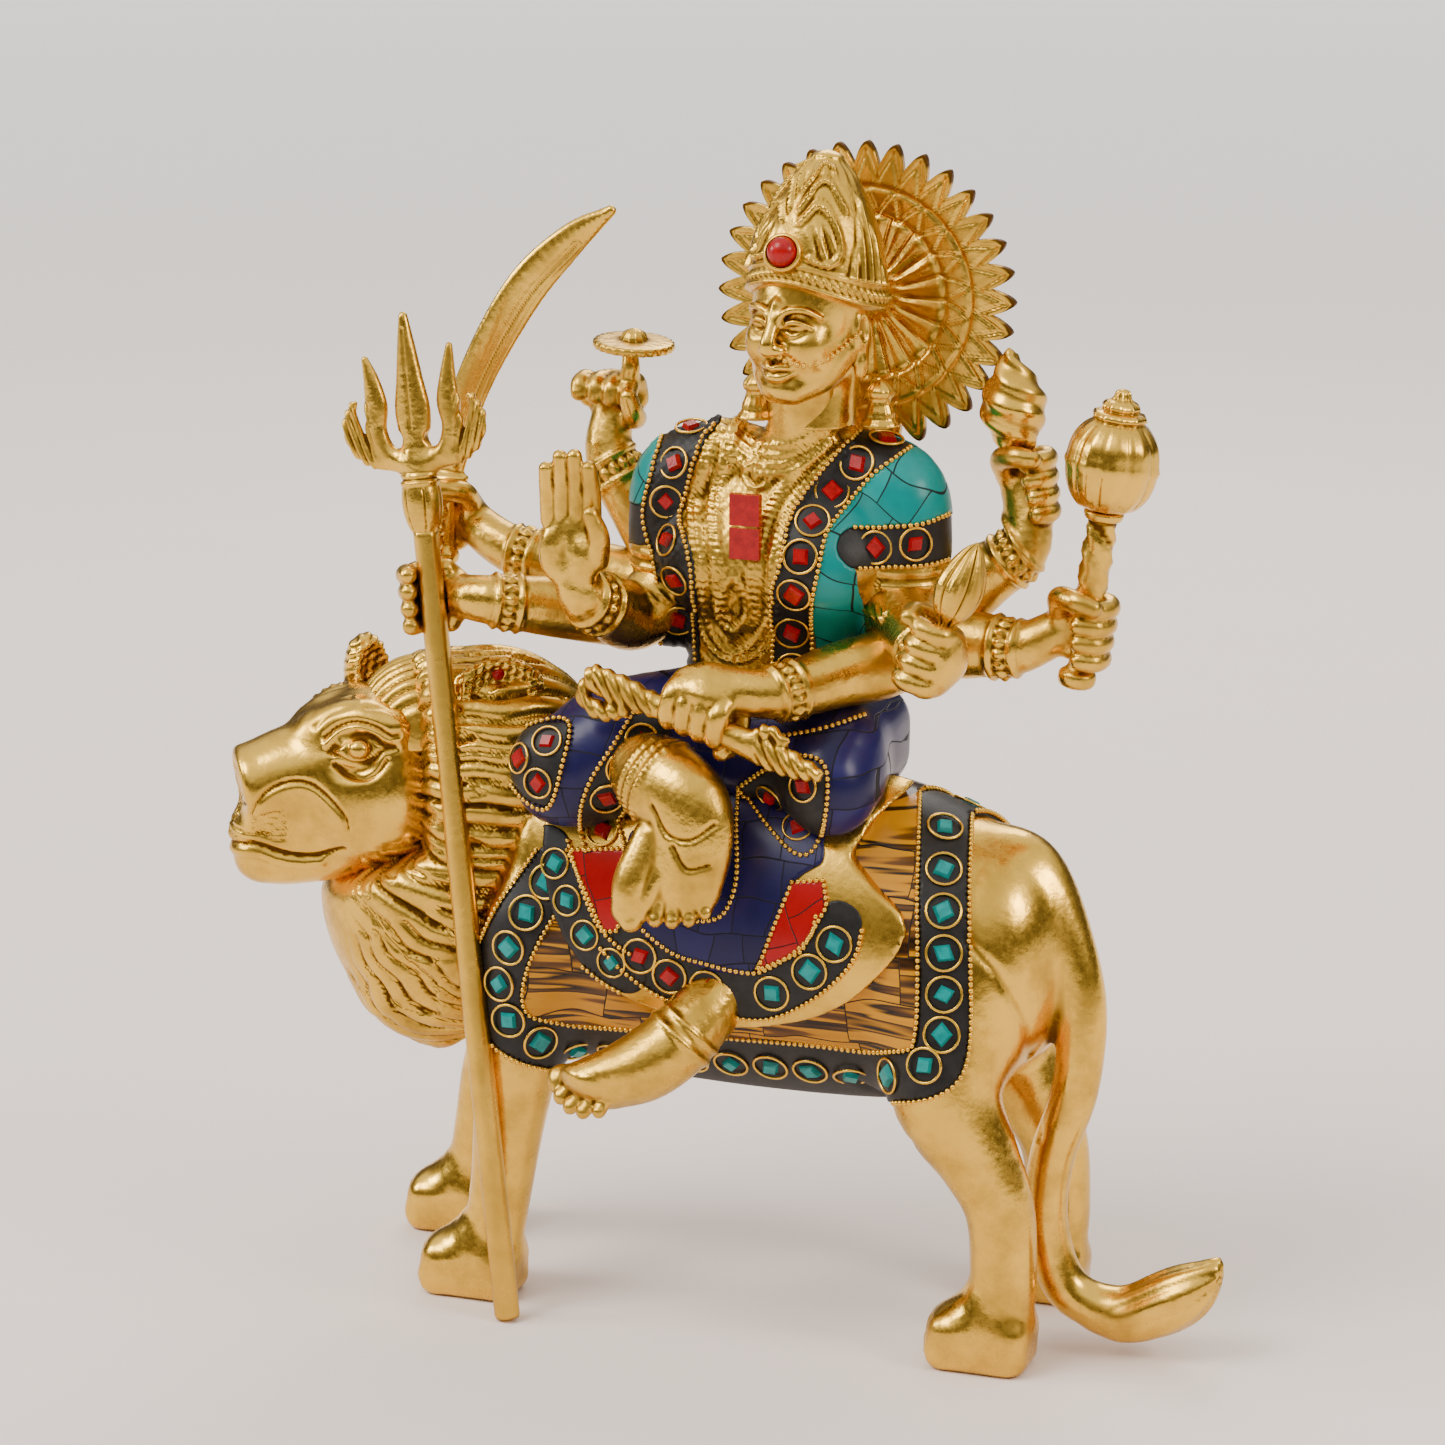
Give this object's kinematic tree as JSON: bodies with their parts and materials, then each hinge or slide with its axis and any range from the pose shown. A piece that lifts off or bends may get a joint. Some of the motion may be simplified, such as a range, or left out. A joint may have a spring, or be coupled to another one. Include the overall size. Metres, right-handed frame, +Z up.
{
  "type": "hindu deity statue",
  "caption": "Cast brass seated deity with many arms on a walking lion, with stone inlay, a toothed halo and a loose trident that lifts out of its fist.",
  "frame": {"origin": "centre of the object's footprint box, on the surface that the paws stand on", "axes": "+Z up, +X from the lion's head to its tail, -Y the side that the deity faces"},
  "size_m": [0.287, 0.1024, 0.3288],
  "materials": {
    "brass": "polished, with darker recesses",
    "satin_brass": "satin",
    "lapis": "polished stone tiles",
    "turquoise": "polished stone chips",
    "coral": "polished stone chips",
    "tiger_eye": "polished banded stone",
    "lac": "matt black resin",
    "steel": "plain"
  },
  "bodies": {
    "statue": {"lion_torso": "brass", "lion_leg_hind_left": "brass", "lion_leg_hind_right": "brass", "lion_leg_front_left": "brass", "lion_leg_front_right": "brass", "lion_head": "brass", "lion_ear_left": "brass", "lion_ear_right": "brass", "lion_mane": "brass", "lion_tail": "brass", "saddle_bed": "lac", "saddle_stone_left": "tiger_eye", "saddle_stone_right": "tiger_eye", "seat_stud": "steel", "seat_nut": "steel", "seat_washer": "steel", "skirt_seat": "brass", "skirt_knee_right": "brass", "skirt_knee_left": "brass", "skirt_drape": "lapis", "bow": "brass", "foot_folded": "brass", "foot_hanging": "brass", "deity_torso": "brass", "chest_stone_upper": "coral", "chest_stone_lower": "coral", "sleeve_right": "brass", "sleeve_left": "brass", "crown_stone": "coral", "crown_bezel": "brass", "halo": "brass", "crown": "brass", "deity_head": "brass", "halo_stem": "brass", "earring_right": "brass", "earring_left": "brass", "sword": "brass", "discus": "brass", "lotus": "brass", "conch": "brass", "mace_handle": "brass", "mace_head": "brass", "arm_trident": "brass", "arm_sword": "brass", "arm_blessing": "brass", "arm_discus": "brass", "arm_lap": "brass", "arm_lotus": "brass", "arm_conch": "brass", "arm_mace": "brass"},
    "trident": {"trident_shaft": "satin_brass", "trident_head": "satin_brass"}
  },
  "joints": [
    {"name": "trident_lift", "type": "slide", "parent": "statue", "child": "trident", "axis": [-0.1309, 0.0838, 0.9878], "range_m": [0, 0.22]}
  ]
}
